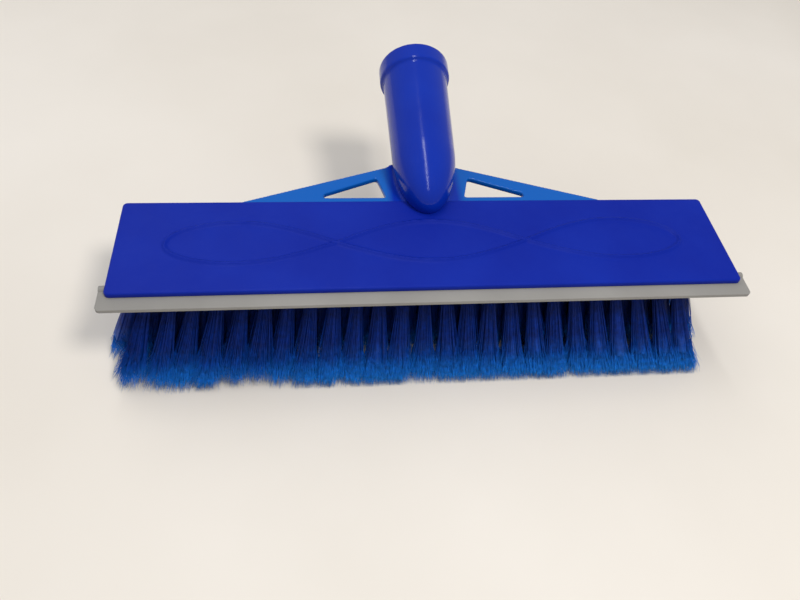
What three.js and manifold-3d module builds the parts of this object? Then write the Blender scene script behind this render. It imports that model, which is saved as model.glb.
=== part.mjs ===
// Brush head: a moulded cover with a handle socket and two windowed wings, a tufted board screwed
// into it from below, five rows of flared tufts and a squeegee blade along the front edge.
// Units are millimetres. X runs along the head, Y points back towards the handle and Z is up.
// The brush stands on its trimmed tufts at Z = 0, and Y = 0 is the back edge of the top plate
// until the whole brush is centred on its footprint at the end.
import * as THREE from 'three';
import * as BufferGeometryUtils from 'three/addons/utils/BufferGeometryUtils.js';
import Module from 'manifold-3d';

const wasm = await Module();
wasm.setup();

// Head
const HEAD_LENGTH = 300;
const HEAD_DEPTH = 58;
const PLATE_TOP = 60;
const PLATE_THICKNESS = 3;
const SKIRT_THICKNESS = 2.6;
const SKIRT_HEIGHT = 13;
const CORNER_RADIUS = 2.4;
const EDGE_ROUNDING = 1.2;
const CLEARANCE = 0.3;
const OVERCUT = 1;
const MERGE_DISTANCE = 1e-4;
const CORNER_SEGMENTS = 4;
const BEVEL_SEGMENTS = 2;
const ROD_SIDES = 12;

// Front rail of the cover and the blade that slides into it
const RAIL_DEPTH = 10;
const RAIL_HEIGHT = 7.7;
const CHANNEL_Y = -HEAD_DEPTH + 5.5;
const CHANNEL_Z = PLATE_TOP - 3.7;
const BEAD_RADIUS = 2;
const BLADE_THICKNESS = 1.8;
const BLADE_LENGTH = 306;
const BLADE_REACH = 6.8;
const BLADE_CORNER = 2;

// Tufted board
const BOARD_THICKNESS = 6;
const BOARD_FACE = 46;

// Handle socket: its axis crosses the plate's back edge at SOCKET_AXIS_RISE above the plate
const SOCKET_TILT = THREE.MathUtils.degToRad(12);
const SOCKET_AXIS_RISE = 5;
const SOCKET_RADIUS = 16.6;
const SOCKET_RADIUS_AT_COLLAR = 17.7;
const NOSE_TIP = -11.5;
const NOSE_LENGTH = 36;
const NOSE_STEPS = [0.04, 0.13, 0.27, 0.45, 0.7, 1];
const COLLAR_START = 74;
const COLLAR_RADIUS = 19.4;
const COLLAR_CHAMFER = 0.8;
const SOCKET_END = 84.5;
const BORE_BOTTOM = 13;
const BORE_RADIUS = 12.2;
const BORE_MOUTH_RADIUS = 12.8;
const ROUND_SEGMENTS = 36;

// Wings
const WING_THICKNESS = 3.4;
const WING_ROOT_X = 93.3;
const WING_TOP_X = 17.3;
const WING_TOP_Y = 26.5;
const WING_FILLET = 2;
const WINDOW_NEAR_X = 20.5;
const WINDOW_PEAK_X = 24.5;
const WINDOW_FAR_X = 52.5;
const WINDOW_BOTTOM_Y = 2.5;
const WINDOW_PEAK_Y = 17.5;
const WINDOW_FAR_Y = 5.5;

// Screws and their bosses
const SCREW_COLUMNS = [5, 12, 19];
const SCREW_OFF_MIDDLE = 5.75;
const SCREW_SHANK_RADIUS = 1.1;
const SCREW_HEAD_RADIUS = 2.4;
const SCREW_HEAD_HEIGHT = 1.6;
const SCREW_LENGTH = 10;
const BOSS_RADIUS = 3.2;
const SCREW_SIDES = 10;

// Tufts: staggered rows on one shared middle, the second and fourth with one tuft more
const ROWS = 5;
const TUFTS_IN_ODD_ROW = 25;
const TUFTS_IN_EVEN_ROW = 26;
const TUFTS_PER_GROUP = 5;
const GROUPS_PER_ROW = 5;
const TUFT_PITCH = 10.83;
const ROW_PITCH = 7.5;
const FIELD_SHIFT = -4.47;
const ROW_FLARE = THREE.MathUtils.degToRad(13);
const COLUMN_FAN = THREE.MathUtils.degToRad(1.56);
const TUFT_ROOT_RADIUS = 2.3;
const TUFT_TIP_SPREAD = 7.3;
const TUFT_SIDES = 6;
const HOLE_RADIUS = 2.65;
const HOLE_DEPTH = 4.5;
const HOLE_OVERCUT = 3;
const STRAIGHT_ROOT = 1;
const TIP_BELOW_FLOOR = 4;

const BLUE = new THREE.MeshStandardMaterial({ color: 0x16309c, roughness: 0.42, metalness: 0 });
const BOARD_BLUE = new THREE.MeshStandardMaterial({ color: 0x15298a, roughness: 0.6, metalness: 0 });
const BRISTLE_BLUE = new THREE.MeshStandardMaterial({ color: 0x0f3a80, roughness: 0.7, metalness: 0 });
const GREY_RUBBER = new THREE.MeshStandardMaterial({ color: 0x9a9994, roughness: 0.6, metalness: 0 });
const STEEL = new THREE.MeshStandardMaterial({ color: 0xb4b6b8, roughness: 0.35, metalness: 1 });

// Solids

function toSolid(geometry) {
  const bare = geometry.index ? geometry.toNonIndexed() : geometry.clone();
  bare.deleteAttribute('normal');
  bare.deleteAttribute('uv');
  const merged = BufferGeometryUtils.mergeVertices(bare, MERGE_DISTANCE);
  const corners = [];
  for (let i = 0; i < merged.index.count; i += 3) {
    const [a, b, c] = [0, 1, 2].map((k) => merged.index.getX(i + k));
    if (a !== b && b !== c && c !== a) corners.push(a, b, c);
  }
  const vertProperties = new Float32Array(merged.attributes.position.array);
  const triVerts = new Uint32Array(corners);
  return new wasm.Manifold(new wasm.Mesh({ numProp: 3, vertProperties, triVerts }));
}

function toMesh(name, solid, material) {
  const { vertProperties, triVerts } = solid.getMesh();
  const geometry = new THREE.BufferGeometry();
  geometry.setAttribute('position', new THREE.BufferAttribute(new Float32Array(vertProperties), 3));
  geometry.setIndex(new THREE.BufferAttribute(new Uint32Array(triVerts), 1));
  geometry.computeVertexNormals();
  const mesh = new THREE.Mesh(geometry, material);
  mesh.name = name;
  return mesh;
}

function union(solids) {
  return solids.reduce((whole, solid) => whole.add(solid));
}

function box(x0, x1, y0, y1, z0, z1) {
  const geometry = new THREE.BoxGeometry(x1 - x0, y1 - y0, z1 - z0);
  return toSolid(geometry.translate((x0 + x1) / 2, (y0 + y1) / 2, (z0 + z1) / 2));
}

function rodAlongX(radius, length, y, z, sides) {
  const geometry = new THREE.CylinderGeometry(radius, radius, length, sides);
  return toSolid(geometry.rotateZ(Math.PI / 2).translate(0, y, z));
}

function rodAlongZ(radius, z0, z1, x, y, sides) {
  const geometry = new THREE.CylinderGeometry(radius, radius, z1 - z0, sides);
  return toSolid(geometry.rotateX(Math.PI / 2).translate(x, y, (z0 + z1) / 2));
}

function turned(profile, segments) {
  const points = profile.map(([radius, along]) => new THREE.Vector2(radius, along));
  return new THREE.LatheGeometry(points, segments);
}

// A rectangle with round corners, as a Shape in the XY plane
function roundedRectangle(x0, x1, y0, y1, radius) {
  const quarter = Math.PI / 2;
  const shape = new THREE.Shape();
  shape.absarc(x1 - radius, y1 - radius, radius, 0, quarter);
  shape.absarc(x0 + radius, y1 - radius, radius, quarter, 2 * quarter);
  shape.absarc(x0 + radius, y0 + radius, radius, 2 * quarter, 3 * quarter);
  shape.absarc(x1 - radius, y0 + radius, radius, 3 * quarter, 4 * quarter);
  return shape;
}

function slab(shape, z0, z1) {
  const curveSegments = CORNER_SEGMENTS;
  const geometry = new THREE.ExtrudeGeometry(shape, { depth: z1 - z0, bevelEnabled: false, curveSegments });
  return toSolid(geometry.translate(0, 0, z0));
}

// Cover

function coverShell() {
  const inset = SKIRT_THICKNESS;
  const outline = roundedRectangle(-HEAD_LENGTH / 2, HEAD_LENGTH / 2, -HEAD_DEPTH, 0, CORNER_RADIUS);
  const outer = new THREE.ExtrudeGeometry(outline, {
    depth: SKIRT_HEIGHT - 2 * EDGE_ROUNDING,
    bevelThickness: EDGE_ROUNDING,
    bevelSize: EDGE_ROUNDING,
    bevelOffset: -EDGE_ROUNDING,
    bevelSegments: BEVEL_SEGMENTS,
    curveSegments: CORNER_SEGMENTS,
  });
  outer.translate(0, 0, PLATE_TOP - SKIRT_HEIGHT + EDGE_ROUNDING);
  const x = HEAD_LENGTH / 2 - inset;
  const radius = CORNER_RADIUS - inset + EDGE_ROUNDING;
  const skirtBottom = PLATE_TOP - SKIRT_HEIGHT - OVERCUT;
  const railBottom = PLATE_TOP - RAIL_HEIGHT;
  const boardRoom = roundedRectangle(-x, x, -HEAD_DEPTH + inset, -inset, radius);
  const hollow = roundedRectangle(-x, x, -HEAD_DEPTH + RAIL_DEPTH, -inset, radius);
  return toSolid(outer)
    .subtract(slab(boardRoom, skirtBottom, railBottom))
    .subtract(slab(hollow, skirtBottom, PLATE_TOP - PLATE_THICKNESS));
}

function bladeChannel() {
  const length = HEAD_LENGTH + 2 * OVERCUT;
  const halfSlot = BLADE_THICKNESS / 2 + CLEARANCE;
  const pocket = rodAlongX(BEAD_RADIUS + CLEARANCE, length, CHANNEL_Y, CHANNEL_Z, ROD_SIDES);
  const front = -HEAD_DEPTH - OVERCUT;
  const slotBottom = CHANNEL_Z - halfSlot;
  const slotTop = CHANNEL_Z + halfSlot;
  return pocket.add(box(-length / 2, length / 2, front, CHANNEL_Y, slotBottom, slotTop));
}

// One wing outline on the +X side, mirrored by side = -1
function wingShape(side) {
  const shape = new THREE.Shape();
  const slope = WING_TOP_Y / (WING_ROOT_X - WING_TOP_X);
  const filletEnd = WING_TOP_X + WING_FILLET;
  const nearX = WING_TOP_X - OVERCUT;
  const topY = WING_TOP_Y + WING_FILLET;
  shape.moveTo(0, -OVERCUT);
  shape.lineTo(side * WING_ROOT_X, -OVERCUT);
  shape.lineTo(side * WING_ROOT_X, 0);
  shape.lineTo(side * filletEnd, WING_TOP_Y - slope * WING_FILLET);
  shape.quadraticCurveTo(side * WING_TOP_X, WING_TOP_Y, side * nearX, topY);
  shape.lineTo(0, topY);
  return shape;
}

function windowShape(side) {
  const shape = new THREE.Shape();
  shape.moveTo(side * WINDOW_NEAR_X, WINDOW_BOTTOM_Y);
  shape.lineTo(side * WINDOW_FAR_X, WINDOW_BOTTOM_Y);
  shape.lineTo(side * WINDOW_FAR_X, WINDOW_FAR_Y);
  shape.lineTo(side * WINDOW_PEAK_X, WINDOW_PEAK_Y);
  return shape;
}

function wing(side) {
  const web = slab(wingShape(side), PLATE_TOP - WING_THICKNESS, PLATE_TOP - CLEARANCE);
  return web.subtract(slab(windowShape(side), PLATE_TOP - 2 * WING_THICKNESS, PLATE_TOP + OVERCUT));
}

// Places geometry turned about Y so that its axis becomes the socket's axis
function alongSocket(geometry) {
  return toSolid(geometry.rotateX(SOCKET_TILT).translate(0, 0, PLATE_TOP + SOCKET_AXIS_RISE));
}

function noseRadius(along) {
  const start = NOSE_TIP + NOSE_LENGTH;
  return SOCKET_RADIUS * Math.sqrt(Math.max(0, 1 - ((start - along) / NOSE_LENGTH) ** 2));
}

function socketOutside() {
  const profile = [[0, NOSE_TIP]];
  for (const share of NOSE_STEPS) {
    const along = NOSE_TIP + share * NOSE_LENGTH;
    profile.push([noseRadius(along), along]);
  }
  profile.push([SOCKET_RADIUS_AT_COLLAR, COLLAR_START]);
  profile.push([COLLAR_RADIUS, COLLAR_START + COLLAR_CHAMFER]);
  profile.push([COLLAR_RADIUS, SOCKET_END - COLLAR_CHAMFER]);
  profile.push([COLLAR_RADIUS - COLLAR_CHAMFER, SOCKET_END]);
  profile.push([0, SOCKET_END]);
  return alongSocket(turned(profile, ROUND_SEGMENTS));
}

function socketBore() {
  const profile = [
    [0, BORE_BOTTOM],
    [BORE_RADIUS, BORE_BOTTOM],
    [BORE_MOUTH_RADIUS, SOCKET_END - COLLAR_CHAMFER],
    [BORE_MOUTH_RADIUS + 2 * COLLAR_CHAMFER, SOCKET_END + COLLAR_CHAMFER],
    [0, SOCKET_END + COLLAR_CHAMFER],
  ];
  return alongSocket(turned(profile, ROUND_SEGMENTS));
}

// Screws stand between the tufts, in front of and behind tufts of the middle row
function screwPlaces() {
  return SCREW_COLUMNS.flatMap((column) => {
    const { x, y } = tuftRoot((ROWS - 1) / 2, column);
    return [[x, y - SCREW_OFF_MIDDLE], [x, y + SCREW_OFF_MIDDLE]];
  });
}

function screwBosses() {
  const bottom = PLATE_TOP - RAIL_HEIGHT;
  const top = PLATE_TOP - OVERCUT;
  return union(screwPlaces().map(([x, y]) => rodAlongZ(BOSS_RADIUS, bottom, top, x, y, ROD_SIDES)));
}

function screwHoles(radius, z0, z1) {
  return union(screwPlaces().map(([x, y]) => rodAlongZ(radius, z0, z1, x, y, SCREW_SIDES)));
}

function headCover() {
  const pilot = SCREW_SHANK_RADIUS + CLEARANCE;
  const solid = coverShell()
    .add(screwBosses())
    .subtract(bladeChannel())
    .add(wing(1))
    .add(wing(-1))
    .add(socketOutside())
    .subtract(socketBore())
    .subtract(screwHoles(pilot, PLATE_TOP - SKIRT_HEIGHT, PLATE_TOP - PLATE_THICKNESS - CLEARANCE));
  return toMesh('head_cover', solid, BLUE);
}

// Blade

function squeegeeBlade() {
  const half = BLADE_LENGTH / 2;
  const front = -HEAD_DEPTH - BLADE_REACH;
  const shape = new THREE.Shape();
  shape.moveTo(half, CHANNEL_Y);
  shape.lineTo(-half, CHANNEL_Y);
  shape.lineTo(-half, front + BLADE_CORNER);
  shape.absarc(-half + BLADE_CORNER, front + BLADE_CORNER, BLADE_CORNER, Math.PI, 1.5 * Math.PI);
  shape.absarc(half - BLADE_CORNER, front + BLADE_CORNER, BLADE_CORNER, 1.5 * Math.PI, 2 * Math.PI);
  const tongue = slab(shape, CHANNEL_Z - BLADE_THICKNESS / 2, CHANNEL_Z + BLADE_THICKNESS / 2);
  const bead = rodAlongX(BEAD_RADIUS, BLADE_LENGTH, CHANNEL_Y, CHANNEL_Z, ROD_SIDES);
  return toMesh('squeegee_blade', tongue.add(bead), GREY_RUBBER);
}

// Tufts

// Rows are counted from 0 here, so the first, third and fifth are the even ones
function tuftsIn(row) {
  return row % 2 === 0 ? TUFTS_IN_ODD_ROW : TUFTS_IN_EVEN_ROW;
}

function columnsFromMiddle(row, column) {
  return column - (tuftsIn(row) - 1) / 2;
}

function tuftRoot(row, column) {
  const x = columnsFromMiddle(row, column) * TUFT_PITCH + FIELD_SHIFT;
  const y = -HEAD_DEPTH / 2 + (row - (ROWS - 1) / 2) * ROW_PITCH;
  return new THREE.Vector3(x, y, BOARD_FACE);
}

// Direction from the root to the tip, as a step that goes down by 1
function tuftSlope(row, column) {
  const flare = (row - (ROWS - 1) / 2) * ROW_FLARE;
  const fan = columnsFromMiddle(row, column) * COLUMN_FAN;
  return new THREE.Vector3(Math.tan(fan), Math.tan(flare), -1);
}

// Turns and moves a profile that was turned about Y so that it starts at start and runs along slope
function alongTuft(geometry, start, slope) {
  const direction = slope.clone().normalize();
  const turn = new THREE.Quaternion().setFromUnitVectors(new THREE.Vector3(0, 1, 0), direction);
  const cornersAlongX = geometry.rotateY(Math.PI / TUFT_SIDES);
  return toSolid(cornersAlongX.applyQuaternion(turn).translate(start.x, start.y, start.z));
}

function tuft(row, column) {
  const root = tuftRoot(row, column);
  const slope = tuftSlope(row, column);
  const start = root.clone().addScaledVector(slope, -(HOLE_DEPTH - CLEARANCE));
  const stretch = slope.length();
  const toFace = (HOLE_DEPTH - CLEARANCE) * stretch;
  const toFloor = toFace + (BOARD_FACE + TIP_BELOW_FLOOR) * stretch;
  const profile = [
    [0, 0],
    [TUFT_ROOT_RADIUS, 0],
    [TUFT_ROOT_RADIUS, toFace + STRAIGHT_ROOT],
    [TUFT_TIP_SPREAD, toFloor],
    [0, toFloor],
  ];
  return alongTuft(turned(profile, TUFT_SIDES), start, slope);
}

function tuftHole(row, column) {
  const root = tuftRoot(row, column);
  const slope = tuftSlope(row, column);
  const start = root.clone().addScaledVector(slope, -HOLE_DEPTH);
  const length = (HOLE_DEPTH + HOLE_OVERCUT) * slope.length();
  const profile = [[0, 0], [HOLE_RADIUS, 0], [HOLE_RADIUS, length], [0, length]];
  return alongTuft(turned(profile, TUFT_SIDES), start, slope);
}

// X of the plane between two neighbouring tufts of a row, at height z
function borderX(row, left, z) {
  const places = [left, left + 1].map((column) => {
    const drop = BOARD_FACE - z;
    return tuftRoot(row, column).x + tuftSlope(row, column).x * drop;
  });
  return (places[0] + places[1]) / 2;
}

// The room that one group of tufts has between its neighbours, down to the floor
function groupRoom(row, first, last) {
  const top = BOARD_FACE + 2 * HOLE_DEPTH;
  const gap = CLEARANCE / 2;
  const shape = new THREE.Shape();
  shape.moveTo(borderX(row, first - 1, 0) + gap, 0);
  shape.lineTo(borderX(row, last, 0) - gap, 0);
  shape.lineTo(borderX(row, last, top) - gap, top);
  shape.lineTo(borderX(row, first - 1, top) + gap, top);
  const reach = 2 * HEAD_DEPTH;
  const geometry = new THREE.ExtrudeGeometry(shape, { depth: 2 * reach, bevelEnabled: false });
  return toSolid(geometry.rotateX(Math.PI / 2).translate(0, reach, 0));
}

function tuftGroup(row, group) {
  const extra = tuftsIn(row) - GROUPS_PER_ROW * TUFTS_PER_GROUP;
  const first = group === 0 ? 0 : group * TUFTS_PER_GROUP + extra;
  const last = (group + 1) * TUFTS_PER_GROUP + extra - 1;
  const tufts = [];
  for (let column = first; column <= last; column += 1) tufts.push(tuft(row, column));
  const name = `tufts_row${row + 1}_${'abcde'[group]}`;
  return toMesh(name, union(tufts).intersect(groupRoom(row, first, last)), BRISTLE_BLUE);
}

// Board

function tuftBoard() {
  const inset = SKIRT_THICKNESS + CLEARANCE;
  const x = HEAD_LENGTH / 2 - inset;
  const outline = roundedRectangle(-x, x, -HEAD_DEPTH + inset, -inset, CORNER_RADIUS - CLEARANCE);
  const holes = [];
  for (let row = 0; row < ROWS; row += 1) {
    for (let column = 0; column < tuftsIn(row); column += 1) holes.push(tuftHole(row, column));
  }
  const top = BOARD_FACE + BOARD_THICKNESS;
  const seat = BOARD_FACE + SCREW_HEAD_HEIGHT + CLEARANCE;
  const solid = slab(outline, BOARD_FACE, top)
    .subtract(union(holes))
    .subtract(screwHoles(SCREW_SHANK_RADIUS + CLEARANCE, BOARD_FACE - OVERCUT, top + OVERCUT))
    .subtract(screwHoles(SCREW_HEAD_RADIUS + CLEARANCE, BOARD_FACE - OVERCUT, seat));
  return toMesh('tuft_board', solid, BOARD_BLUE);
}

// Screws

function screw(index, [x, y]) {
  const profile = [
    [0, 0],
    [SCREW_HEAD_RADIUS, 0],
    [SCREW_HEAD_RADIUS, SCREW_HEAD_HEIGHT],
    [SCREW_SHANK_RADIUS, SCREW_HEAD_HEIGHT],
    [SCREW_SHANK_RADIUS, SCREW_LENGTH - SCREW_SHANK_RADIUS],
    [0, SCREW_LENGTH],
  ];
  const geometry = turned(profile, SCREW_SIDES).rotateX(Math.PI / 2);
  const mesh = toMesh(`screw_${index + 1}`, toSolid(geometry), STEEL);
  mesh.position.set(x, y, BOARD_FACE);
  return mesh;
}

// Whole brush

const brush = new THREE.Group();
brush.add(headCover(), tuftBoard(), squeegeeBlade());
for (let row = 0; row < ROWS; row += 1) {
  for (let group = 0; group < GROUPS_PER_ROW; group += 1) brush.add(tuftGroup(row, group));
}
screwPlaces().forEach((place, index) => brush.add(screw(index, place)));

const footprint = new THREE.Box3().setFromObject(brush).getCenter(new THREE.Vector3());
brush.position.set(-footprint.x, -footprint.y, 0);

export default brush;
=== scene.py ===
import math

import bmesh
import bpy
import numpy as np
from mathutils import Matrix, Vector


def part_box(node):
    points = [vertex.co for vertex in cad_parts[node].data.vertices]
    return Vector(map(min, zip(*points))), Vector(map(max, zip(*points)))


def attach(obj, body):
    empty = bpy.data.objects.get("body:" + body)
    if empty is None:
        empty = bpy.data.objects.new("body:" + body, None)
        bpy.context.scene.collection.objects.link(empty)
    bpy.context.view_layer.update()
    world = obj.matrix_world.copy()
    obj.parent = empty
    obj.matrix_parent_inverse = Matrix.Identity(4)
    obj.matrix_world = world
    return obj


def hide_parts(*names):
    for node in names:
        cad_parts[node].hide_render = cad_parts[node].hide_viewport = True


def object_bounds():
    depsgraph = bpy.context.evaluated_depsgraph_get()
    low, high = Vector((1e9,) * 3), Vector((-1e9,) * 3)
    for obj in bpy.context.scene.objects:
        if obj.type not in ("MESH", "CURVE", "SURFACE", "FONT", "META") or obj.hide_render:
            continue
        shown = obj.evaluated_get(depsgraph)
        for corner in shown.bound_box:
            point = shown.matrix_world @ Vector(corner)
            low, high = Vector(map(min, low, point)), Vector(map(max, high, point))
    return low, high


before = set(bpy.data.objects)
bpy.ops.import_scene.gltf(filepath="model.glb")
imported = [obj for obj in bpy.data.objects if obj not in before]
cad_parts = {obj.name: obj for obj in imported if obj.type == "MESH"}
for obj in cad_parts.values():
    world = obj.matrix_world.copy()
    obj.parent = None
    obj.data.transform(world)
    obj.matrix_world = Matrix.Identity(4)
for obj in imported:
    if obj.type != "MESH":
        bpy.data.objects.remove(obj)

CAD_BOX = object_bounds()

# Local frame: X along the head, Y back, Z up, in millimetres, from the middle of the plate's back edge
# on top of the plate. Its place in the row frame comes from the tufted board.
MM = 0.001
BOARD_INSET = 2.9
BOARD_BELOW_TOP = 8
board_low, board_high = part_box("tuft_board")
REF = Vector((
    (board_low[0] + board_high[0]) / 2,
    board_high[1] + BOARD_INSET * MM,
    board_high[2] + BOARD_BELOW_TOP * MM,
))
FLOOR = -REF.z / MM

# The driving dimensions of the cover and the blade, the same as in the CAD, in millimetres.
HEAD_LENGTH = 300
HEAD_DEPTH = 58
SKIRT_HEIGHT = 13
SKIRT_THICKNESS = 2.6
PLATE_THICKNESS = 3
CORNER_RADIUS = 2.4
EDGE_ROUNDING = 1.2
RAIL_DEPTH = 10
RAIL_HEIGHT = 7.7
CHANNEL_Y = -HEAD_DEPTH + 5.5
CHANNEL_Z = -3.7
BEAD_RADIUS = 2.0
BLADE_THICKNESS = 1.8
CLEARANCE = 0.3

# The socket. Distances along its axis start over the plate's back edge.
SOCKET_TILT = math.radians(12)
SOCKET_RISE = 5
SOCKET_RADIUS = 16.6
SOCKET_RADIUS_AT_COLLAR = 17.7
NOSE_TIP = -11.5
NOSE_LENGTH = 36
COLLAR_START = 74
COLLAR_RADIUS = 19.4
SOCKET_END = 84.5
BORE_BOTTOM = 13
BORE_RADIUS = 12.2
BORE_MOUTH_RADIUS = 12.8

# The field of tufts: its rows flare to the front and the back, its columns fan out sideways.
ROWS = 5
TUFTS_IN_ODD_ROW = 25
TUFTS_IN_EVEN_ROW = 26
GROUPS = 5
PER_GROUP = 5
TUFT_PITCH = 10.83
ROW_PITCH = 7.5
FIELD_SHIFT = -4.47
ROW_FLARE = math.radians(13)
COLUMN_FAN = math.radians(1.56)
BOARD_FACE = -14


def srgb(r, g, b):
    def linear(c):
        c /= 255
        return c / 12.92 if c <= 0.04045 else ((c + 0.055) / 1.055) ** 2.4
    return (linear(r), linear(g), linear(b), 1)


# Materials

class Nodes:
    def __init__(self, name):
        self.material = bpy.data.materials.new(name)
        self.material.use_nodes = True
        self.tree = self.material.node_tree
        self.shader = self.tree.nodes["Principled BSDF"]

    def add(self, kind, **values):
        node = self.tree.nodes.new(kind)
        for key, value in values.items():
            setattr(node, key, value)
        return node

    def link(self, a, b):
        self.tree.links.new(a, b)

    def coords(self):
        return self.add("ShaderNodeTexCoord").outputs["Object"]

    def noise(self, scale, detail=3.0, rough=0.5):
        node = self.add("ShaderNodeTexNoise")
        node.inputs["Scale"].default_value = scale
        node.inputs["Detail"].default_value = detail
        node.inputs["Roughness"].default_value = rough
        self.link(self.coords(), node.inputs["Vector"])
        return node.outputs["Fac"]

    def ramp(self, source, stops):
        node = self.add("ShaderNodeValToRGB")
        ramp = node.color_ramp
        while len(ramp.elements) < len(stops):
            ramp.elements.new(0.5)
        for element, (place, colour) in zip(ramp.elements, stops):
            element.position = place
            element.color = colour
        self.link(source, node.inputs["Fac"])
        return node.outputs["Color"]

    def remap(self, source, low, high, a=0.0, b=1.0):
        node = self.add("ShaderNodeMapRange")
        for key, value in (("From Min", low), ("From Max", high), ("To Min", a), ("To Max", b)):
            node.inputs[key].default_value = value
        self.link(source, node.inputs["Value"])
        return node.outputs["Result"]

    def bump(self, source, strength, distance, below=None):
        node = self.add("ShaderNodeBump")
        node.inputs["Strength"].default_value = strength
        node.inputs["Distance"].default_value = distance
        self.link(source, node.inputs["Height"])
        if below:
            self.link(below, node.inputs["Normal"])
        return node.outputs["Normal"]


# The wings get a lighter blue. This is painted light, for the light that shines through their thin plastic
# from below. It fades in between these distances from the middle, and out between these heights.
WING_LIGHT_X = (16.5, 20.5)
WING_LIGHT_Z = (0.5, 2.5)

# Noise in a moulded surface: patches of colour, uneven gloss, and slow waves with their depth in metres.
COLOUR_SCALE = 22
GLOSS_SCALE = 160
WAVE_SCALE = 35
WAVE_DEPTH = 0.0004


def plastic(name, dark, light, rough, grain, grain_depth, specular, wing=None):
    """Moulded plastic with colour variation, uneven gloss and a fine grain; a wing colour, when given,
    paints light onto the wings.
    """
    n = Nodes(name)
    colour = n.ramp(n.noise(COLOUR_SCALE, 4), [(0.3, dark), (0.7, light)])
    # Painted light: the wings are mixed to a lighter blue for the light shining through their thin plastic.
    if wing:
        split = n.add("ShaderNodeSeparateXYZ")
        n.link(n.coords(), split.inputs["Vector"])
        off_middle = n.add("ShaderNodeMath", operation="SUBTRACT")
        off_middle.inputs[1].default_value = REF.x
        n.link(split.outputs["X"], off_middle.inputs[0])
        distance = n.add("ShaderNodeMath", operation="ABSOLUTE")
        n.link(off_middle.outputs["Value"], distance.inputs[0])
        low = n.remap(split.outputs["Z"], *(REF.z + z * MM for z in WING_LIGHT_Z), 1.0, 0.0)
        wing_light_mask = n.add("ShaderNodeMath", operation="MULTIPLY")
        n.link(n.remap(distance.outputs["Value"], *(x * MM for x in WING_LIGHT_X)), wing_light_mask.inputs[0])
        n.link(low, wing_light_mask.inputs[1])
        mix = n.add("ShaderNodeMix", data_type="RGBA")
        n.link(wing_light_mask.outputs["Value"], mix.inputs["Factor"])
        n.link(colour, mix.inputs["A"])
        mix.inputs["B"].default_value = wing
        colour = mix.outputs["Result"]
    n.link(colour, n.shader.inputs["Base Color"])
    n.link(n.remap(n.noise(GLOSS_SCALE, 4, 0.6), 0.3, 0.7, *rough), n.shader.inputs["Roughness"])
    fine = n.bump(n.noise(grain, 2, 0.6), 0.6, grain_depth)
    n.link(n.bump(n.noise(WAVE_SCALE, 2), 0.25, WAVE_DEPTH, fine), n.shader.inputs["Normal"])
    n.shader.inputs["Specular IOR Level"].default_value = specular
    return n.material


PLATE = plastic("textured_plate", srgb(5, 32, 148), srgb(9, 40, 159),
                rough=(0.48, 0.6), grain=2600, grain_depth=0.00012, specular=0.2)
# The wing colour of the gloss is painted light, for light shining through the thin wings.
GLOSS = plastic("moulded_gloss", srgb(3, 41, 158), srgb(6, 49, 170),
                rough=(0.13, 0.2), grain=900, grain_depth=0.000004, specular=0.38, wing=srgb(6, 92, 182))
BOARD = plastic("board_plastic", srgb(12, 24, 96), srgb(18, 32, 116),
                rough=(0.5, 0.66), grain=1400, grain_depth=0.00008, specular=0.3)
RUBBER = plastic("soft_grey", srgb(138, 136, 132), srgb(152, 150, 146),
                 rough=(0.55, 0.68), grain=1800, grain_depth=0.00006, specular=0.25)


def steel():
    n = Nodes("screw_steel")
    n.link(n.ramp(n.noise(400, 3), [(0.3, srgb(150, 152, 156)), (0.7, srgb(190, 192, 195))]),
           n.shader.inputs["Base Color"])
    n.link(n.remap(n.noise(900, 3), 0.3, 0.7, 0.28, 0.45), n.shader.inputs["Roughness"])
    n.shader.inputs["Metallic"].default_value = 1
    return n.material


# Height over the floor, in metres, up to which the bristles change colour from painted light at the tips to
# painted shade at the roots, and how much their tone varies.
BRISTLE_SHADING_TOP = 0.04
BRISTLE_VARY = (0.66, 1.3)


def bristle():
    """Filaments that run from dark at the root to pale at the tip, by their height above the floor: painted
    shade darkens the roots, painted light brightens the flagged tips, and the middle is their own blue.
    """
    n = Nodes("bristle_filament")
    split = n.add("ShaderNodeSeparateXYZ")
    n.link(n.coords(), split.inputs["Vector"])
    height = n.remap(split.outputs["Z"], 0.0, BRISTLE_SHADING_TOP)
    # Painted light and shade: the pale tips stand for light caught by the flagged ends, the dark upper half
    # for the shade under the plate and between the tufts.
    stops = [
        (0.0, srgb(36, 150, 246)),
        (0.2, srgb(22, 118, 218)),
        (0.36, srgb(8, 68, 162)),
        (0.54, srgb(1, 40, 124)),
        (1.0, srgb(0, 36, 120)),
    ]
    along = n.ramp(height, stops)
    vary = n.remap(n.noise(420, 2, 0.6), 0.3, 0.7, *BRISTLE_VARY)
    scaled = n.add("ShaderNodeVectorMath", operation="SCALE")
    n.link(along, scaled.inputs[0])
    n.link(vary, scaled.inputs["Scale"])
    n.link(scaled.outputs["Vector"], n.shader.inputs["Base Color"])
    n.link(n.remap(n.noise(700, 2), 0.3, 0.7, 0.45, 0.62), n.shader.inputs["Roughness"])
    n.shader.inputs["Specular IOR Level"].default_value = 0.22
    return n.material


STEEL = steel()
BRISTLE = bristle()


def floor_material():
    n = Nodes("pale_floor")
    n.link(n.ramp(n.noise(3.2, 5), [(0.3, srgb(226, 219, 208)), (0.7, srgb(238, 232, 223))]),
           n.shader.inputs["Base Color"])
    n.link(n.remap(n.noise(30, 3), 0.3, 0.7, 0.5, 0.62), n.shader.inputs["Roughness"])
    return n.material


# Mesh helpers

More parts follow.
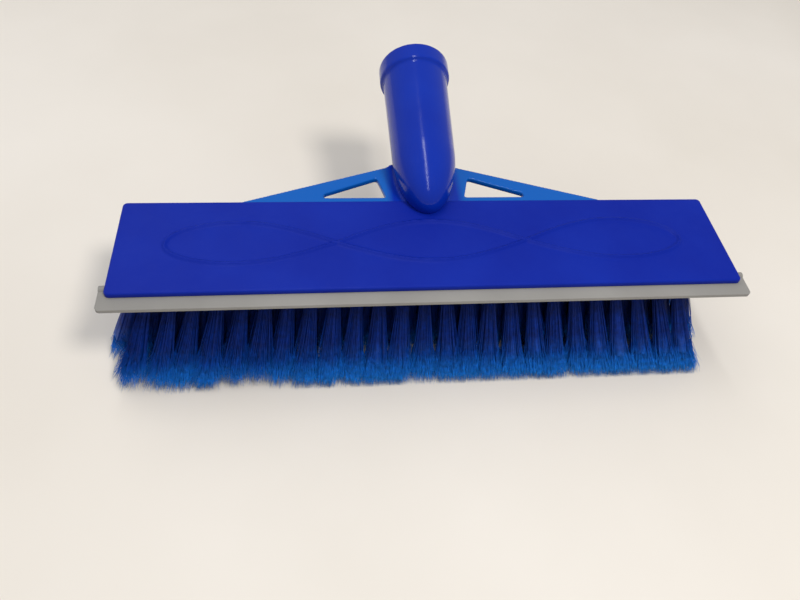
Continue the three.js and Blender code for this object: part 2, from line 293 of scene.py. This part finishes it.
def make(name, verts, faces, material, smooth=True):
    mesh = bpy.data.meshes.new(name)
    mesh.from_pydata((np.array(verts) * MM + np.array(REF)).tolist(), [], faces)
    mesh.update()
    if smooth:
        mesh.shade_smooth()
    mesh.materials.append(material)
    obj = bpy.data.objects.new(name, mesh)
    bpy.context.scene.collection.objects.link(obj)
    return obj


def outward(obj):
    bm = bmesh.new()
    bm.from_mesh(obj.data)
    bmesh.ops.recalc_face_normals(bm, faces=bm.faces)
    bm.to_mesh(obj.data)
    bm.free()


def block(name, x0, x1, y0, y1, z0, z1, material):
    verts = [(x, y, z) for x in (x0, x1) for y in (y0, y1) for z in (z0, z1)]
    faces = [(0, 1, 3, 2), (4, 6, 7, 5), (0, 4, 5, 1), (2, 3, 7, 6), (0, 2, 6, 4), (1, 5, 7, 3)]
    obj = make(name, verts, faces, material, smooth=False)
    outward(obj)
    return obj


def rod_x(name, radius, length, y, z, material, sides=32):
    verts = []
    for x in (-length / 2, length / 2):
        for k in range(sides):
            a = 2 * math.pi * k / sides
            verts.append((x, y + radius * math.cos(a), z + radius * math.sin(a)))
    faces = [(k, (k + 1) % sides, sides + (k + 1) % sides, sides + k) for k in range(sides)]
    faces += [tuple(range(sides)), tuple(range(sides, 2 * sides))]
    obj = make(name, verts, faces, material)
    outward(obj)
    return obj


def combine(target, tools, operation):
    for tool in tools:
        modifier = target.modifiers.new("combine", "BOOLEAN")
        modifier.solver = "MANIFOLD"
        modifier.operation = operation
        modifier.object = tool
    settle(target)
    for tool in tools:
        bpy.data.objects.remove(tool)


def settle(obj):
    bpy.context.view_layer.update()
    evaluated = obj.evaluated_get(bpy.context.evaluated_depsgraph_get())
    mesh = bpy.data.meshes.new_from_object(evaluated)
    obj.modifiers.clear()
    obj.data = mesh


def finish_piece(obj, slot, *nodes):
    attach(obj, "root")
    if nodes:
        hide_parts(*nodes)


# Cover plate with its skirt and the raised line pattern

LINE_MIDDLE = -29.3
LINE_RISE = 14.0
LINE_FALL = 12.2
CROSSING_X = 46.8
LOOP_END_X = 127.0
OUTER_PEAK = 0.594
LINE_HALF_WIDTH = 0.9
LINE_HEIGHT = 1.15
LINE_END = 6
LINE_POINTS = 1100
LINE_END_POINTS = 260

PLATE_SPACING = 0.55
RAIL_INSET = 1.5
RAIL_TOP = -2
OVERLAP = 0.5
OVERSHOOT = 2
SKIRT_RING = -10
LIP = 0.4
LIP_MIDWAY = 0.12
SHARP_ANGLE = math.radians(38)


def loop_height(x):
    """Distance of the two lines from the pattern's middle, from 0 to 1."""
    x = np.abs(x)
    inner = np.cos(np.pi * x / (2 * CROSSING_X))
    t = (x - CROSSING_X) / (LOOP_END_X - CROSSING_X)
    rise = -np.sin(np.pi / 2 * t / OUTER_PEAK)
    fall = -np.sqrt(np.clip(1 - ((t - OUTER_PEAK) / (1 - OUTER_PEAK)) ** 2, 0, 1))
    return np.where(x < CROSSING_X, inner, np.where(t < OUTER_PEAK, rise, fall))


def pattern_points():
    """Points along both lines, close together at the ends, where the lines run steep."""
    x = np.concatenate([
        np.linspace(-LOOP_END_X, -LOOP_END_X + LINE_END, LINE_END_POINTS),
        np.linspace(-LOOP_END_X + LINE_END, LOOP_END_X - LINE_END, LINE_POINTS)[1:-1],
        np.linspace(LOOP_END_X - LINE_END, LOOP_END_X, LINE_END_POINTS),
    ])
    h = loop_height(x)
    y = np.concatenate([h, -h])
    y = LINE_MIDDLE + np.where(y > 0, LINE_RISE * y, LINE_FALL * y)
    return np.stack([np.concatenate([x, x]), y], -1)


def pattern_height(points):
    """Height of the raised lines at these points of the plate."""
    lines = pattern_points()
    best = np.empty(len(points))
    batch = 2000
    for start in range(0, len(points), batch):
        part = points[start:start + batch]
        gap = part[:, None, :] - lines[None, :, :]
        best[start:start + batch] = np.sqrt((gap ** 2).sum(-1).min(1))
    return LINE_HEIGHT * np.exp(-(best / LINE_HALF_WIDTH) ** 2)


def rounded(u, v, half_x, half_y, radius):
    """Point of the rounded rectangle for u, v from -1 to 1, its corners turned in to the radius."""
    x, y = abs(u) * half_x, abs(v) * half_y
    qx, qy = x - (half_x - radius), y - (half_y - radius)
    if qx > 0 and qy > 0:
        k = max(qx, qy) / math.hypot(qx, qy)
        x, y = half_x - radius + qx * k, half_y - radius + qy * k
    return math.copysign(x, u), math.copysign(y, v)


def plate_lines(half, spacing):
    """Where the mesh has its lines: close together along the edge, evenly spaced in the middle."""
    edge = [0, 0.09, 0.22, 0.4, 0.62, 0.9, 1.2, 1.6, 2.2, 3.0, 4.0]
    reach = half - edge[-1]
    middle = list(np.linspace(-reach, reach, int(2 * reach / spacing) + 1))[1:-1]
    return [-half + e for e in edge] + middle + [half - e for e in reversed(edge)]


def cover_plate():
    hx, hy = HEAD_LENGTH / 2, HEAD_DEPTH / 2
    spacing = PLATE_SPACING
    xs, ys = plate_lines(hx, spacing), plate_lines(hy, spacing)
    flat = []
    for y in ys:
        for x in xs:
            flat.append(rounded(x / hx, y / hy, hx, hy, CORNER_RADIUS))
    flat = np.array(flat)
    inside = np.abs(flat) - np.array([hx - CORNER_RADIUS, hy - CORNER_RADIUS])
    corner = np.hypot(*np.clip(inside, 0, None).T)
    edge = CORNER_RADIUS - np.where((inside > 0).all(1), corner, inside.max(1))
    drop = np.clip(EDGE_ROUNDING - edge, 0, EDGE_ROUNDING)
    z = np.sqrt(EDGE_ROUNDING ** 2 - drop ** 2) - EDGE_ROUNDING
    moved = flat + np.array([0, -hy])
    z = z + pattern_height(moved)
    verts = [(x, y, h) for (x, y), h in zip(moved, z)]
    nx, ny = len(xs), len(ys)
    faces = [(j * nx + i, j * nx + i + 1, (j + 1) * nx + i + 1, (j + 1) * nx + i)
             for j in range(ny - 1) for i in range(nx - 1)]
    border = list(range(nx))
    border += [j * nx + nx - 1 for j in range(1, ny)]
    border += [(ny - 1) * nx + i for i in range(nx - 2, -1, -1)]
    border += [j * nx for j in range(ny - 2, 0, -1)]
    params = [(xs[b % nx] / hx, ys[b // nx] / hy) for b in border]
    t = SKIRT_THICKNESS
    rings = [(0, SKIRT_RING), (0, -SKIRT_HEIGHT + LIP), (LIP_MIDWAY, -SKIRT_HEIGHT + LIP_MIDWAY),
             (LIP, -SKIRT_HEIGHT), (t - LIP, -SKIRT_HEIGHT), (t - LIP_MIDWAY, -SKIRT_HEIGHT + LIP_MIDWAY),
             (t, -SKIRT_HEIGHT + LIP), (t, -PLATE_THICKNESS)]
    last = border
    for inset, height in rings:
        ring = []
        for u, v in params:
            radius = max(CORNER_RADIUS - inset, 0.8)
            x, y = rounded(u, v, hx - inset, hy - inset, radius)
            ring.append(len(verts))
            verts.append((x, y - hy, height))
        n = len(ring)
        faces += [(last[k], ring[k], ring[(k + 1) % n], last[(k + 1) % n]) for k in range(n)]
        last = ring
    faces.append(tuple(reversed(last)))
    obj = make("cover_plate", verts, faces, PLATE)
    outward(obj)
    rail_x = hx - SKIRT_THICKNESS + OVERLAP
    rail = block("rail", -rail_x, rail_x, -HEAD_DEPTH + RAIL_INSET, -HEAD_DEPTH + RAIL_DEPTH,
                 -RAIL_HEIGHT, RAIL_TOP, PLATE)
    combine(obj, [rail], "UNION")
    slot_half = BLADE_THICKNESS / 2 + CLEARANCE
    slot = block("slot", -hx - OVERSHOOT, hx + OVERSHOOT, -HEAD_DEPTH - OVERSHOOT, CHANNEL_Y,
                 CHANNEL_Z - slot_half, CHANNEL_Z + slot_half, PLATE)
    pocket_length = HEAD_LENGTH + 2 * OVERSHOOT
    pocket = rod_x("pocket", BEAD_RADIUS + CLEARANCE, pocket_length, CHANNEL_Y, CHANNEL_Z, PLATE)
    combine(obj, [slot, pocket], "DIFFERENCE")
    modifier = obj.modifiers.new("smooth", "WEIGHTED_NORMAL")
    modifier.keep_sharp = True
    obj.data.shade_smooth()
    obj.data.set_sharp_from_angle(angle=SHARP_ANGLE)
    settle(obj)
    finish_piece(obj, "cover", "head_cover")


# Socket with its collar and the two wings

SOCKET_SEGMENTS = 96
NOSE_RINGS = 32
COLLAR_ROUNDING = 0.9
ROUNDING_MIDWAY = 0.3
SHOULDER_IN = 0.5
SHOULDER_UP = 0.2
BORE_FLOOR_ROUNDING = 0.6
BORE_FLARE = 1.2
VOXEL = 0.62


def socket_axis(along, radial_x, radial_up):
    """A point given by its distance along the socket and its offset from the axis."""
    c, s = math.cos(SOCKET_TILT), math.sin(SOCKET_TILT)
    return (radial_x, along * c - radial_up * s, SOCKET_RISE + along * s + radial_up * c)


def turned(name, profile, material):
    """A closed solid turned around the socket's axis from points of (radius, distance along)."""
    verts, rings = [], []
    for radius, along in profile:
        if radius == 0:
            rings.append([len(verts)])
            verts.append(socket_axis(along, 0, 0))
            continue
        ring = []
        for k in range(SOCKET_SEGMENTS):
            a = 2 * math.pi * k / SOCKET_SEGMENTS
            ring.append(len(verts))
            verts.append(socket_axis(along, radius * math.cos(a), radius * math.sin(a)))
        rings.append(ring)
    faces = []
    for a, b in zip(rings, rings[1:]):
        n = max(len(a), len(b))
        for k in range(n):
            corners = [a[k % len(a)], a[(k + 1) % len(a)], b[(k + 1) % len(b)], b[k % len(b)]]
            faces.append(tuple(dict.fromkeys(corners)))
    obj = make(name, verts, faces, material)
    outward(obj)
    return obj


def socket_profile():
    profile = [(0, NOSE_TIP)]
    for k in range(1, NOSE_RINGS + 1):
        share = (k / NOSE_RINGS) ** 2
        r = SOCKET_RADIUS * math.sqrt(1 - (1 - share) ** 2)
        profile.append((r, NOSE_TIP + share * NOSE_LENGTH))
    return profile + [
        (SOCKET_RADIUS_AT_COLLAR, COLLAR_START - ROUNDING_MIDWAY),
        (COLLAR_RADIUS - SHOULDER_IN, COLLAR_START + SHOULDER_UP),
        (COLLAR_RADIUS, COLLAR_START + COLLAR_ROUNDING),
        (COLLAR_RADIUS, SOCKET_END - COLLAR_ROUNDING),
        (COLLAR_RADIUS - ROUNDING_MIDWAY, SOCKET_END - ROUNDING_MIDWAY),
        (COLLAR_RADIUS - COLLAR_ROUNDING, SOCKET_END),
        (0, SOCKET_END),
    ]


def bore_profile():
    beyond = SOCKET_END + ROUNDING_MIDWAY
    return [
        (0, BORE_BOTTOM),
        (BORE_RADIUS - BORE_FLOOR_ROUNDING, BORE_BOTTOM),
        (BORE_RADIUS, BORE_BOTTOM + BORE_FLOOR_ROUNDING),
        (BORE_MOUTH_RADIUS, SOCKET_END - COLLAR_ROUNDING),
        (BORE_MOUTH_RADIUS + BORE_FLARE, beyond),
        (0, beyond),
    ]


WING_LOW = -3.4
WING_HIGH = -0.3
WING_OUTLINE = [(8, -1.5), (93.3, -1.5), (93.3, 0), (19.3, 25.8), (17.7, 26.7), (16.6, 28.4), (8, 28.4)]
WINDOW_OUTLINE = [(20.5, 2.5), (52.5, 2.5), (52.5, 5.5), (24.5, 17.5)]
WING_CORNER = 1.2
WINDOW_CORNER = 1.3
WINDOW_CUT = (-8, 6)

# The space under the plate that the nose is cut away from, as two opposite corners.
BELOW_PLATE = ((-40, -14, -40), (40, -0.4, -2.2))


def softened(outline, radius, steps=5):
    """The outline with each corner cut round by a short curve."""
    points = []
    count = len(outline)
    for k in range(count):
        a, b, c = (Vector(outline[(k + d) % count]) for d in (-1, 0, 1))
        cut = min(radius, (a - b).length * 0.45, (c - b).length * 0.45)
        start, end = b + (a - b).normalized() * cut, b + (c - b).normalized() * cut
        for i in range(steps + 1):
            f = i / steps
            points.append(tuple(start * (1 - f) ** 2 + b * 2 * f * (1 - f) + end * f ** 2))
    return points


def prism(name, outline, z0, z1, side, material):
    """The outline as a solid between two heights, on the right side or mirrored to the left one."""
    n = len(outline)
    verts = [(side * x, y, z) for z in (z0, z1) for x, y in outline]
    faces = [(k, (k + 1) % n, n + (k + 1) % n, n + k) for k in range(n)]
    faces += [tuple(range(n)), tuple(range(n, 2 * n))]
    obj = make(name, verts, faces, material, smooth=False)
    outward(obj)
    return obj


def cover_socket():
    obj = turned("cover_socket", socket_profile(), GLOSS)
    wing, window = softened(WING_OUTLINE, WING_CORNER), softened(WINDOW_OUTLINE, WINDOW_CORNER)
    combine(obj, [prism("wing", wing, WING_LOW, WING_HIGH, side, GLOSS) for side in (1, -1)], "UNION")
    cuts = [prism("window", window, *WINDOW_CUT, side, GLOSS) for side in (1, -1)]
    (x0, y0, z0), (x1, y1, z1) = BELOW_PLATE
    cuts += [block("below", x0, x1, y0, y1, z0, z1, GLOSS), turned("bore", bore_profile(), GLOSS)]
    combine(obj, cuts, "DIFFERENCE")
    remesh = obj.modifiers.new("even", "REMESH")
    remesh.mode = "VOXEL"
    remesh.voxel_size = VOXEL * MM
    settle(obj)
    smooth = obj.modifiers.new("melt", "SMOOTH")
    smooth.factor = 0.5
    smooth.iterations = 3
    settle(obj)
    obj.data.shade_smooth()
    obj.data.materials.clear()
    obj.data.materials.append(GLOSS)
    finish_piece(obj, "cover", "head_cover")


# Bristles

# How far above the floor the front tufts end, at these places of their tips along the head. The tufts of
# the other rows end anywhere up to LIFT_OTHERS above it.
LIFT_X = [-149, -124, -105, -97, -89, -77, -67, -52, -24, -16, 21, 32, 48, 70, 92, 114, 137, 142]
LIFT_MM = [5.0, 0, 4.5, 4.5, 5.5, 2.2, 1.2, 0.6, 0, 0.4, 0, 0, 0, 0, 0, 0, 0, 0.5]
LIFT_OTHERS = 1.6
LIFT_VARY = (0.75, 1.1)

# How far the tips of the first and the last row are pushed out, at these places of their roots.
PUSH_X = [-150, -50, 50, 150]
PUSH_MM = [0.3, 2.0, 3.0, 4.2]

# A tuft is a bundle of filaments from its root to its tip, each of them split into fine hairs near the end.
# It widens late in the outer rows, where the power of its spread is high, and evenly in the inner ones.
SEED = 1000
ROOT_RADIUS = 2.15
TIP_RADIUS = 7.8
SPREAD_OUTER = 1.7
SPREAD_INNER = 1.0
FILAMENT_RADIUS = 0.21
FILAMENTS_OUTER = 160
FILAMENTS_INNER = 96
HAIRS = 5
HAIR_RADII = (0.115, 0.08)
HAIR_SPREAD = 1.6
HAIR_BEND = 0.55
HAIR_STEPS = (0.35, 0.7)
FLAG_LENGTH = 13.0
FLAG_VARY = (0.6, 1.3)
PATH_STEPS = np.array([0, 0.35, 0.7, 0.99, 1])
ROOT_DEPTH = 1.5
LEAN = 0.018
LENGTH_JITTER = 0.7
TIP_JITTER = 0.4
BOW = 0.5
STRAY_SHARE = 0.05
STRAY_REACH = 0.45

# The core inside a tuft: how far down it goes, how much of the tuft's radius it fills, and its flutes.
CORE_SHARE = 0.76
CORE_CAP = 0.06
CORE_OUTER = 0.66
CORE_INNER = 0.84
CORE_SIDES = 14
CORE_RINGS = (0, 0.25, 0.5, 0.75, 1.0)
CORE_FLUTE = 0.14
CORE_WOBBLE = 0.05

# What the filaments keep clear of the CAD box at the sides, and of the floor.
BOX_MARGIN = 0.2
FLOOR_MARGIN = 0.1


def tufts_in(row):
    """Number of tufts in a row, which is counted from 0 here and from 1 in the names of the CAD nodes."""
    return TUFTS_IN_ODD_ROW if row % 2 == 0 else TUFTS_IN_EVEN_ROW


def from_middle(row, column):
    return column - (tufts_in(row) - 1) / 2


def tuft_root(row, column):
    x = from_middle(row, column) * TUFT_PITCH + FIELD_SHIFT
    y = -HEAD_DEPTH / 2 + (row - (ROWS - 1) / 2) * ROW_PITCH
    return x, y


ASKEW = (0.31, 0.93, 0.2)


def tubes(paths, radii, sides=3):
    """Thin tubes along many paths at once, each closed to a point at its end."""
    count, points = paths.shape[:2]
    along = paths[:, -1] - paths[:, 0]
    along /= np.linalg.norm(along, axis=1)[:, None]
    side = np.cross(along, ASKEW)
    side /= np.linalg.norm(side, axis=1)[:, None]
    other = np.cross(along, side)
    angle = 2 * np.pi * np.arange(sides) / sides
    ring = np.cos(angle)[None, :, None] * side[:, None] + np.sin(angle)[None, :, None] * other[:, None]
    radii = np.asarray(radii, float)
    body = paths[:, :-1, None] + radii[None, :, None, None] * ring[:, None]
    verts = np.concatenate([body.reshape(count, -1, 3), paths[:, -1:]], axis=1)
    quads = []
    for r in range(points - 2):
        for k in range(sides):
            a, b = r * sides + k, r * sides + (k + 1) % sides
            quads.append((a, b, b + sides, a + sides))
    last = (points - 2) * sides
    tris = [(last + k, last + (k + 1) % sides, last + sides) for k in range(sides)]
    tris.append(tuple(reversed(range(sides))))
    offset = np.arange(count)[:, None, None] * verts.shape[1]
    return verts.reshape(-1, 3), [np.array(part)[None] + offset for part in (quads, tris)]


class Bundle:
    """Collects tubes and closed shapes into one mesh."""

    def __init__(self):
        self.verts, self.faces, self.size = [], [], 0

    def add(self, verts, parts):
        for part in parts:
            part = np.asarray(part)
            self.faces += (part.reshape(-1, part.shape[-1]) + self.size).tolist()
        self.verts.append(verts)
        self.size += len(verts)

    def all_verts(self):
        return np.concatenate(self.verts)


def core(bundle, root, tip, power, fill, rng):
    """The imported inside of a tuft: a fluted cone that closes the view between the filaments."""
    angle = 2 * np.pi * np.arange(CORE_SIDES) / CORE_SIDES
    rings = []
    for share in CORE_RINGS:
        middle = root + (tip - root) * share * CORE_SHARE
        spread = (share * CORE_SHARE) ** power
        radius = (ROOT_RADIUS + (TIP_RADIUS - ROOT_RADIUS) * spread) * fill
        wobble = rng.uniform(-CORE_WOBBLE, CORE_WOBBLE, CORE_SIDES)
        wave = radius * (1 + CORE_FLUTE * (np.arange(CORE_SIDES) % 2) + wobble)
        rings.append(np.stack([middle[0] + wave * np.cos(angle), middle[1] + wave * np.sin(angle),
                               np.full(CORE_SIDES, middle[2])], -1))
    end = root + (tip - root) * (CORE_SHARE + CORE_CAP)
    verts = np.concatenate(rings + [end[None]])
    quads = []
    for r in range(len(rings) - 1):
        for k in range(CORE_SIDES):
            a, b = r * CORE_SIDES + k, r * CORE_SIDES + (k + 1) % CORE_SIDES
            quads.append((a, a + CORE_SIDES, b + CORE_SIDES, b))
    base = (len(rings) - 1) * CORE_SIDES
    tris = [(base + k, base + CORE_SIDES, base + (k + 1) % CORE_SIDES) for k in range(CORE_SIDES)]
    tris += [(0, k, k + 1) for k in range(1, CORE_SIDES - 1)]
    bundle.add(verts, [quads, tris])


def bristle_group(row, group, low, high):
    """The tufts of one CAD node: a group of neighbours in a row, the first of rows 2 and 4 with one more."""
    rng = np.random.default_rng(SEED + row * 10 + group)
    outer = row in (0, ROWS - 1)
    count = FILAMENTS_OUTER if outer else FILAMENTS_INNER
    power, fill = (SPREAD_OUTER, CORE_OUTER) if outer else (SPREAD_INNER, CORE_INNER)
    drop = BOARD_FACE - FLOOR
    bundle = Bundle()

    def keep_inside(points):
        least = np.array([low[0] + BOX_MARGIN, low[1] + BOX_MARGIN, FLOOR + FLOOR_MARGIN])
        return np.clip(points, least, np.array([high[0] - BOX_MARGIN, high[1] - BOX_MARGIN, 0]))

    extra = tufts_in(row) - GROUPS * PER_GROUP
    first = 0 if group == 0 else group * PER_GROUP + extra
    for column in range(first, (group + 1) * PER_GROUP + extra):
        x0, y0 = tuft_root(row, column)
        flare = math.tan((row - (ROWS - 1) / 2) * ROW_FLARE)
        fan = math.tan(from_middle(row, column) * COLUMN_FAN)
        lean = rng.normal(0, LEAN, 2)
        lift = np.interp(x0 + fan * drop, LIFT_X, LIFT_MM) if row == 0 else rng.uniform(0, LIFT_OTHERS)
        push = np.interp(x0, PUSH_X, PUSH_MM) / drop if outer else 0
        slant = np.array([fan + lean[0], flare + lean[1] + math.copysign(push, flare), -1])
        start = np.array([x0, y0, BOARD_FACE + ROOT_DEPTH])
        face = np.array([x0, y0, BOARD_FACE])
        core(bundle, start, face + slant * (drop - lift), power, fill, rng)
        angle = rng.uniform(0, 2 * np.pi, count)
        share = np.sqrt(rng.uniform(0, 1, count))
        ring = np.stack([np.cos(angle), np.sin(angle)], -1) * share[:, None]
        stray = 1 + np.where(rng.uniform(size=count) < STRAY_SHARE, rng.uniform(0, STRAY_REACH, count), 0)
        reach = drop - lift * rng.uniform(*LIFT_VARY, count) - np.abs(rng.normal(0, LENGTH_JITTER, count))
        flat = np.zeros((count, 1))
        root = np.concatenate([ring * ROOT_RADIUS, flat], 1) + start
        spread = ring * TIP_RADIUS * stray[:, None] + rng.normal(0, TIP_JITTER, (count, 2))
        tip = np.concatenate([spread, flat], 1) + slant * reach[:, None]
        tip = keep_inside(tip + face)
        bow = rng.normal(0, BOW, (count, 3)) * (1, 1, 0)
        split = 1 - FLAG_LENGTH / drop * rng.uniform(*FLAG_VARY, count)
        steps = (split[:, None] * PATH_STEPS)[..., None]
        opening = np.concatenate([ring * ROOT_RADIUS - spread, flat], 1)
        late = steps - steps ** power
        paths = root[:, None] + (tip - root)[:, None] * steps + opening[:, None] * late
        paths += bow[:, None] * 4 * steps * (1 - steps)
        bundle.add(*tubes(paths, [FILAMENT_RADIUS] * (len(PATH_STEPS) - 1)))
        neck = np.repeat(paths[:, -2], HAIRS, axis=0)
        end = np.repeat(tip, HAIRS, axis=0)
        end = keep_inside(end + rng.normal(0, HAIR_SPREAD, end.shape) * (1, 1, 0.6))
        bend = rng.normal(0, HAIR_BEND, (2, *end.shape))
        near, far = (neck + (end - neck) * f + b for f, b in zip(HAIR_STEPS, bend))
        hairs = np.stack([neck, keep_inside(near), keep_inside(far), end], 1)
        bundle.add(*tubes(hairs, [HAIR_RADII[0], HAIR_RADII[0], HAIR_RADII[1]]))
    letter = "abcde"[group]
    obj = make("filaments_row%d_%s" % (row + 1, letter), bundle.all_verts(), bundle.faces, BRISTLE)
    finish_piece(obj, "bristles", "tufts_row%d_%s" % (row + 1, letter))


def all_bristles():
    low, high = ([(corner[i] - REF[i]) / MM for i in range(3)] for corner in CAD_BOX)
    for row in range(ROWS):
        for group in range(GROUPS):
            bristle_group(row, group, low, high)


# CAD nodes that keep their shape

SCREWS = 6


def repaint(node, material):
    """Gives a CAD node, which keeps its shape, a better material."""
    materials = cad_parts[node].data.materials
    materials.clear()
    materials.append(material)


cover_plate()
cover_socket()
repaint("squeegee_blade", RUBBER)
repaint("tuft_board", BOARD)
for index in range(SCREWS):
    repaint("screw_%d" % (index + 1), STEEL)
all_bristles()

# Floor, lights and camera

FLOOR_HALF = 3.0
floor_mesh = bpy.data.meshes.new("floor")
floor_corners = [(x * FLOOR_HALF, y * FLOOR_HALF, 0) for x, y in ((-1, -1), (1, -1), (1, 1), (-1, 1))]
floor_mesh.from_pydata(floor_corners, [], [(0, 1, 2, 3)])
floor_mesh.materials.append(floor_material())
floor = bpy.data.objects.new("floor", floor_mesh)
bpy.context.scene.collection.objects.link(floor)


def area_light(name, place, target, size, power, colour, reflected):
    """An area light aimed at the target; size is a diameter, or the width and the length of a long lamp."""
    data = bpy.data.lights.new(name, "AREA")
    data.shape = "RECTANGLE" if isinstance(size, tuple) else "DISK"
    if isinstance(size, tuple):
        data.size, data.size_y = size
    else:
        data.size = size
    data.energy = power
    data.color = colour
    light = bpy.data.objects.new(name, data)
    light.location = place
    light.rotation_euler = (Vector(target) - Vector(place)).to_track_quat("-Z", "Y").to_euler()
    light.visible_glossy = reflected
    bpy.context.scene.collection.objects.link(light)


# The key and the window light stay out of reflections. The long lamp makes the streak on the socket.
TARGET = (0, 0, 0.03)
KEY_DIRECTION = Vector((0.36, -0.38, 0.85)).normalized()
KEY_DISTANCE = 1.5
WINDOW_PLACE = (-0.9, 0.7, 1.0)
LAMP_PLACE = Vector((-0.11, -0.35, 1.43))
LAMP_SIZE = (0.1, 1.9)
WARM, SOFT, COOL = (1.0, 0.96, 0.9), (1.0, 0.98, 0.95), (0.96, 0.98, 1.0)
key_place = Vector(TARGET) + KEY_DIRECTION * KEY_DISTANCE
below_lamp = LAMP_PLACE - Vector((0, 0, 1))
area_light("key", key_place, TARGET, size=0.34, power=10.8, colour=WARM, reflected=False)
area_light("window", WINDOW_PLACE, TARGET, size=2.2, power=8, colour=SOFT, reflected=False)
area_light("long_lamp", LAMP_PLACE, below_lamp, size=LAMP_SIZE, power=6.5, colour=COOL, reflected=True)

bpy.context.scene.view_settings.view_transform = "Standard"
studio = bpy.data.worlds.new("studio")
bpy.context.scene.world = studio
studio.use_nodes = True
background = studio.node_tree.nodes["Background"]
background.inputs["Color"].default_value = (0.92, 0.94, 1.0, 1)
background.inputs["Strength"].default_value = 0.34

# The camera's lens and sensor in millimetres, and its place in the local frame.
LENS = 30.15
SENSOR = 36
CAMERA_PLACE = (-57.05, -251.57, 235.79)
camera_data = bpy.data.cameras.new("camera")
camera_data.lens = LENS
camera_data.sensor_width = SENSOR
camera_data.clip_start = 0.01
camera = bpy.data.objects.new("camera", camera_data)
right = Vector((0.99216, -0.09553, 0.08060))
up = Vector((0.02478, 0.78240, 0.62229))
ahead = Vector((0.12251, 0.61541, -0.77863))
camera.matrix_world = Matrix((
    (right.x, up.x, -ahead.x, 0),
    (right.y, up.y, -ahead.y, 0),
    (right.z, up.z, -ahead.z, 0),
    (0, 0, 0, 1),
))
camera.location = REF + Vector(CAMERA_PLACE) * MM
bpy.context.scene.collection.objects.link(camera)
bpy.context.scene.camera = camera

bpy.context.view_layer.update()
